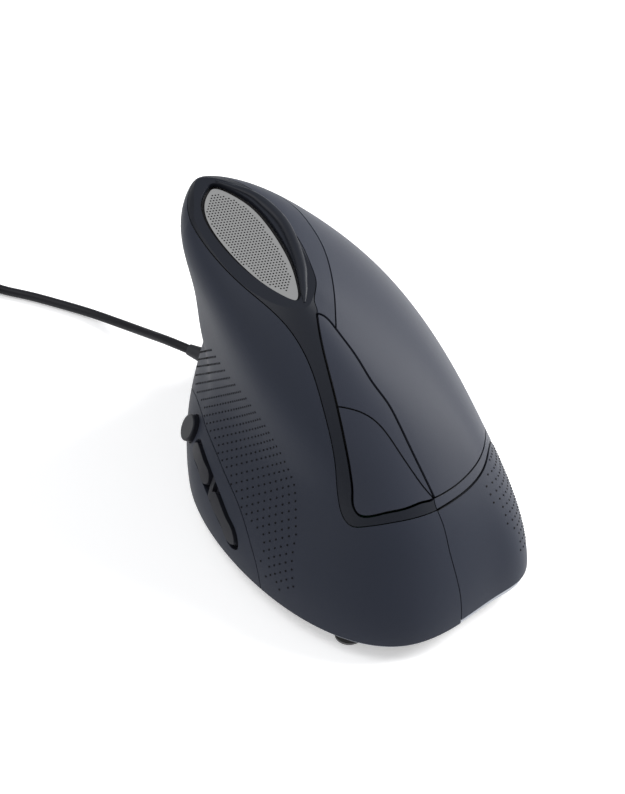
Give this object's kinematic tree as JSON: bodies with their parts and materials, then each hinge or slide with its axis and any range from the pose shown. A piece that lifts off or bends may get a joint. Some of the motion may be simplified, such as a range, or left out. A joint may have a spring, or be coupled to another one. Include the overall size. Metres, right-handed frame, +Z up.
{
  "type": "vertical computer mouse",
  "caption": "Right-handed vertical computer mouse with two finger keys, scroll wheel, thumb keys, oval grille, light strip and corded plug.",
  "frame": {"origin": "on the desk, under the middle of the mouse's own box, its free lead and plug left out", "axes": "+Z up, +Y forward along the mouse, the way the fingers point; +X to the user's right"},
  "size_m": [0.1687, 0.179, 0.0693],
  "materials": {
    "shell": "soft-touch matt, dark blue-grey",
    "key": "soft-touch matt, slightly lighter",
    "trim": "satin, near black",
    "button": "fine matt, dark",
    "grille": "bright, perforated look",
    "rim": "polished",
    "strip": "translucent light guide",
    "base": "matt",
    "frame": "matt, inside",
    "glide": "slippery glide",
    "tyre": "matt rubber",
    "board": "circuit board",
    "chip": "moulded package",
    "lens": "clear",
    "lamp": "clear lamp body",
    "cable": "matt sheath",
    "plug": "matt overmould",
    "steel": "plain steel",
    "tongue": "white insulator"
  },
  "bodies": {
    "housing": {"left_shell": "shell", "right_shell": "shell", "thumb_skirt": "shell", "palm_panel": "shell", "spine_panel": "shell", "spine_frame": "trim", "thumb_bezel": "button", "grille": "grille", "grille_rim": "rim", "light_strip": "strip", "base_plate": "base", "spine_carrier": "frame", "inner_frame": "frame", "feet": "glide", "base_screws": "steel", "board_screws": "steel", "main_board": "board", "side_board": "board", "thumb_board": "board", "sensor_chip": "chip", "controller_chip": "chip", "cable_socket": "tongue", "sensor_lens": "lens", "sensor_led": "lamp", "glow_leds": "lamp", "index_switch": "chip", "middle_switch": "chip", "thumb_switches": "chip", "wheel_switch": "chip", "strain_relief": "plug", "cable": "cable", "cable_coil": "cable", "cable_tail": "cable", "inner_lead": "cable", "plug_body": "plug", "plug_shell": "steel", "plug_tongue": "tongue"},
    "index_key": {"index_button": "key", "index_plunger": "tongue"},
    "middle_key": {"middle_button": "key", "middle_plunger": "tongue"},
    "wheel_cradle": {"wheel_carrier": "frame", "wheel_encoder": "chip"},
    "scroll_wheel": {"scroll_hub": "plug", "scroll_tyre": "tyre", "wheel_axle": "steel"},
    "forward_key": {"forward_button": "button"},
    "back_key": {"back_button": "button"},
    "dpi_key": {"dpi_button": "button"}
  },
  "joints": [
    {"name": "index_click", "type": "hinge", "parent": "housing", "child": "index_key", "pos_m": [0.02, -0.03, 0.032], "axis": [-0.7828, 0, 0.6222], "range_deg": [0, 0.4], "stiffness_Nm_per_rad": 20},
    {"name": "middle_click", "type": "hinge", "parent": "housing", "child": "middle_key", "pos_m": [0.032, -0.02, 0.027], "axis": [-0.361, 0, 0.9326], "range_deg": [0, 0.4], "stiffness_Nm_per_rad": 20},
    {"name": "wheel_click", "type": "slide", "parent": "housing", "child": "wheel_cradle", "axis": [-0.9808, 0, -0.195], "range_m": [0, 0.0005], "stiffness_N_per_m": 1500},
    {"name": "wheel_scroll", "type": "hinge", "parent": "wheel_cradle", "child": "scroll_wheel", "pos_m": [0.0142, 0.036, 0.0246], "axis": [-0.195, 0, 0.9808], "continuous": true},
    {"name": "forward_press", "type": "slide", "parent": "housing", "child": "forward_key", "axis": [0.8711, 0, -0.4911], "range_m": [0, 0.0005], "stiffness_N_per_m": 1500},
    {"name": "back_press", "type": "slide", "parent": "housing", "child": "back_key", "axis": [0.8711, 0, -0.4911], "range_m": [0, 0.0005], "stiffness_N_per_m": 1500},
    {"name": "dpi_press", "type": "slide", "parent": "housing", "child": "dpi_key", "axis": [0.8711, 0, -0.4911], "range_m": [0, 0.0005], "stiffness_N_per_m": 1500}
  ]
}
